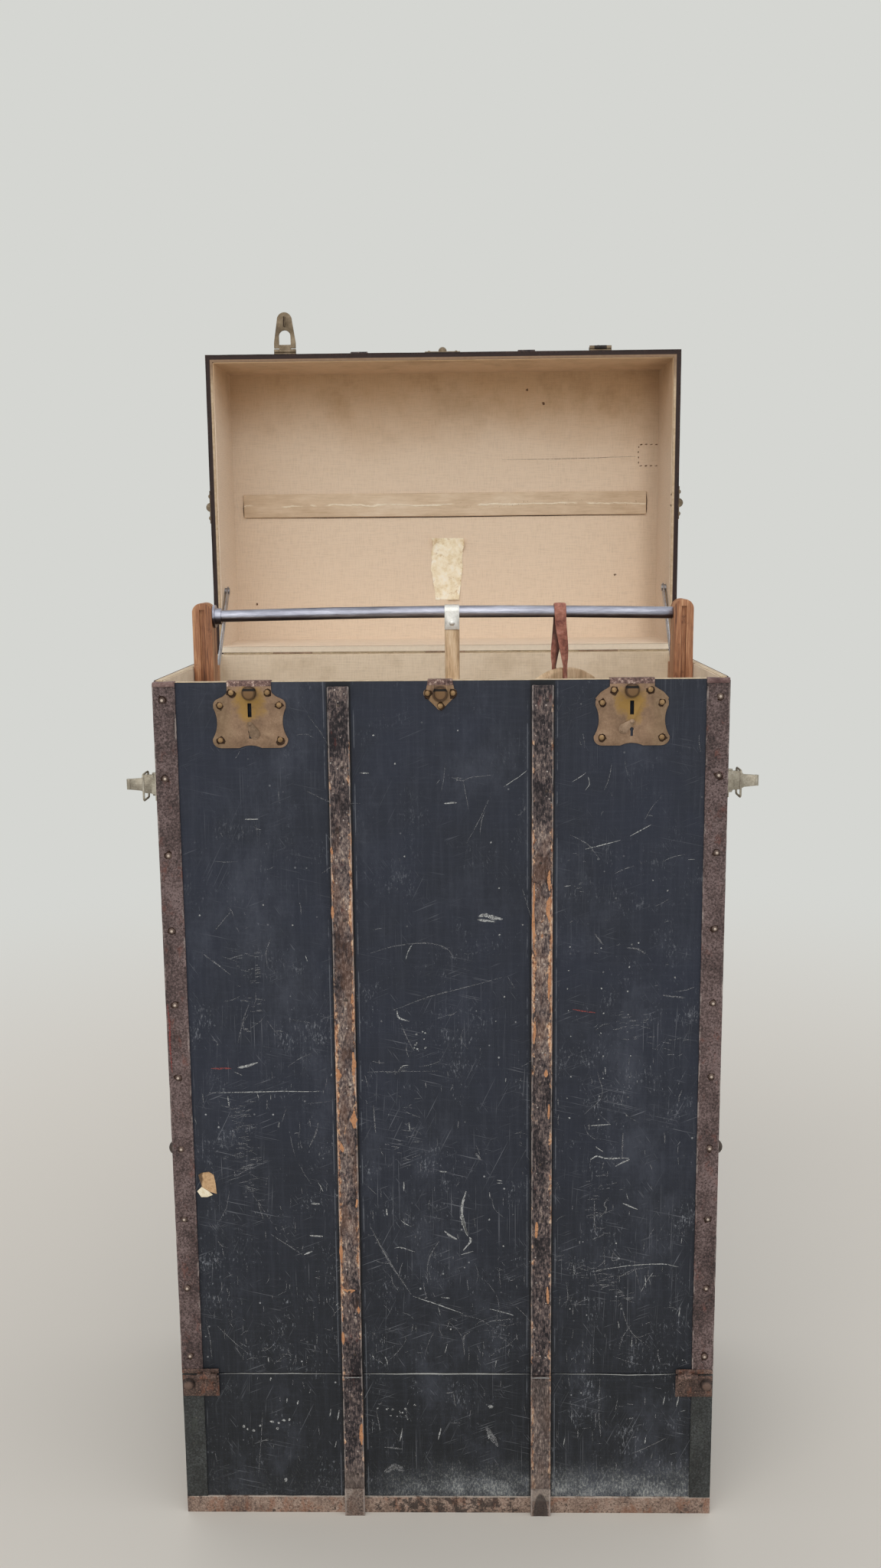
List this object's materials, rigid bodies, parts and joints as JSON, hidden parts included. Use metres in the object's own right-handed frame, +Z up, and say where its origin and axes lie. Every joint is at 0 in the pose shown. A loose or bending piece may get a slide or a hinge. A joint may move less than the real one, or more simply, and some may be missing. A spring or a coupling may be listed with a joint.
{
  "type": "cabin trunk",
  "caption": "Upright wooden cabin trunk with a hinged tray lid, drop-front door, hasp locks, side draw latches, lid stays and a hanging rail with hangers.",
  "frame": {"origin": "centre of the trunk's underside, on the floor", "axes": "+Z up, -Y out of the front door, +X to the viewer's right"},
  "size_m": [0.7834, 0.6116, 1.6196],
  "materials": {
    "canvas": "matt blue-black painted canvas on plywood, scuffed",
    "bare_board": "raw plywood",
    "linen": "tan linen, aged",
    "paper": "thin aged paper",
    "brown_binding": "worn brown enamel with rust",
    "black_binding": "worn black enamel",
    "slat_wood": "dark stained wood, bare orange on the edges",
    "dark_iron": "dull dark iron",
    "aged_brass": "aged brass with yellow and grey patches",
    "nickel": "dull nickel plate",
    "steel": "drawn steel tube and bar, satin",
    "clip_metal": "white metal",
    "arm_wood": "reddish-brown varnished wood",
    "pale_wood": "pale unfinished beech",
    "strap_leather": "reddish-brown leather",
    "handle_leather": "dark brown leather"
  },
  "bodies": {
    "carcass": {"base_board": "bare_board", "left_side": "canvas", "right_side": "canvas", "back_panel": "canvas", "lower_front": "canvas", "box_lining": "linen", "base_binding": "brown_binding", "corner_strips": "black_binding", "side_edging": "brown_binding", "lower_slats": "slat_wood", "outer_slats": "slat_wood", "seam_hinge_leaves": "brown_binding", "lid_hinge_box_leaves": "dark_iron", "handle_straps": "handle_leather", "handle_fittings": "dark_iron", "side_studs": "dark_iron", "latch_bases": "nickel", "arm_guides": "arm_wood", "stay_box_pins": "steel"},
    "door": {"door_panel": "canvas", "door_lining": "linen", "door_slats": "slat_wood", "door_strips": "brown_binding", "door_rivets": "dark_iron", "lock_plate_left": "aged_brass", "lock_plate_right": "aged_brass", "lock_cases": "dark_iron", "centre_catch": "aged_brass", "door_keepers": "nickel", "door_hinge_leaves": "brown_binding"},
    "lid": {"lid_top": "canvas", "lid_front": "canvas", "lid_back": "canvas", "lid_left": "canvas", "lid_right": "canvas", "lid_lining": "linen", "lid_inner_slat": "linen", "lid_label": "paper", "lid_binding": "black_binding", "lid_slats": "slat_wood", "lid_fittings": "nickel", "lid_hinge_leaves": "dark_iron", "stay_lid_pins": "steel"},
    "hanger_frame": {"rail": "steel", "arm_left": "arm_wood", "arm_right": "arm_wood"},
    "hasp_left": {"hasp_left": "nickel"},
    "hasp_right": {"hasp_right": "nickel"},
    "keyhole_cover_left": {"keyhole_cover_left": "aged_brass"},
    "keyhole_cover_right": {"keyhole_cover_right": "aged_brass"},
    "latch_lever_left": {"latch_lever_left": "nickel"},
    "latch_lever_right": {"latch_lever_right": "nickel"},
    "latch_loop_left": {"latch_loop_left": "nickel"},
    "latch_loop_right": {"latch_loop_right": "nickel"},
    "clip_hanger": {"hanger_clip": "clip_metal", "clip_hanger": "pale_wood"},
    "strap_hanger": {"strap": "strap_leather", "strap_hanger": "pale_wood"},
    "stay_left": {"stay_left": "steel"},
    "stay_right": {"stay_right": "steel"}
  },
  "joints": [
    {"name": "lid_hinge", "type": "hinge", "parent": "carcass", "child": "lid", "pos_m": [0, 0.22, 1.12015], "axis": [-1, 0, 0], "range_deg": [-90, 0]},
    {"name": "door_drop", "type": "hinge", "parent": "carcass", "child": "door", "pos_m": [0, -0.226, 0.203], "axis": [1, 0, 0], "range_deg": [0, 102]},
    {"name": "frame_lift", "type": "slide", "parent": "carcass", "child": "hanger_frame", "axis": [0, 0, 1], "range_m": [0, 0.1]},
    {"name": "hasp_left_fold", "type": "hinge", "parent": "lid", "child": "hasp_left", "pos_m": [-0.232, 0.22515, 1.56465], "axis": [-1, 0, 0], "range_deg": [-90, 90]},
    {"name": "hasp_right_fold", "type": "hinge", "parent": "lid", "child": "hasp_right", "pos_m": [0.232, 0.22515, 1.56465], "axis": [-1, 0, 0], "range_deg": [-180, 0]},
    {"name": "cover_left_swing", "type": "hinge", "parent": "door", "child": "keyhole_cover_left", "pos_m": [-0.232, -0.2189, 1.0665], "axis": [0, 1, 0], "range_deg": [-65, 115]},
    {"name": "cover_right_swing", "type": "hinge", "parent": "door", "child": "keyhole_cover_right", "pos_m": [0.232, -0.2189, 1.0665], "axis": [0, 1, 0], "range_deg": [-140, 40]},
    {"name": "latch_left_lever", "type": "hinge", "parent": "carcass", "child": "latch_lever_left", "pos_m": [-0.3555, -0.196, 0.99], "axis": [0, 0, 1], "range_deg": [-90, 0]},
    {"name": "latch_right_lever", "type": "hinge", "parent": "carcass", "child": "latch_lever_right", "pos_m": [0.3555, -0.196, 0.99], "axis": [0, 0, -1], "range_deg": [-90, 0]},
    {"name": "latch_left_loop", "type": "hinge", "parent": "latch_lever_left", "child": "latch_loop_left", "pos_m": [-0.3645, -0.196, 0.99], "axis": [0, 0, 1], "range_deg": [0, 90]},
    {"name": "latch_right_loop", "type": "hinge", "parent": "latch_lever_right", "child": "latch_loop_right", "pos_m": [0.3645, -0.196, 0.99], "axis": [0, 0, -1], "range_deg": [0, 90]},
    {"name": "clip_hanger_swing", "type": "hinge", "parent": "hanger_frame", "child": "clip_hanger", "pos_m": [0.013, 0, 1.19149], "axis": [1, 0, 0], "range_deg": [-8, 8]},
    {"name": "strap_hanger_swing", "type": "hinge", "parent": "hanger_frame", "child": "strap_hanger", "pos_m": [0.159, 0, 1.19045], "axis": [1, 0, 0], "range_deg": [-8, 8]},
    {"name": "stay_left_turn", "type": "hinge", "parent": "lid", "child": "stay_left", "pos_m": [-0.3335, 0.2542, 1.21412], "axis": [-1, 0, 0], "range_deg": [0, 45]},
    {"name": "stay_right_turn", "type": "hinge", "parent": "lid", "child": "stay_right", "pos_m": [0.3335, 0.2542, 1.21412], "axis": [-1, 0, 0], "range_deg": [0, 45]}
  ],
  "couplings": [
    {"joint": "stay_left_turn", "follows": "lid_hinge", "ratio": -0.5},
    {"joint": "stay_right_turn", "follows": "lid_hinge", "ratio": -0.5},
    {"joint": "latch_left_loop", "follows": "latch_left_lever", "ratio": -1},
    {"joint": "latch_right_loop", "follows": "latch_right_lever", "ratio": -1}
  ]
}
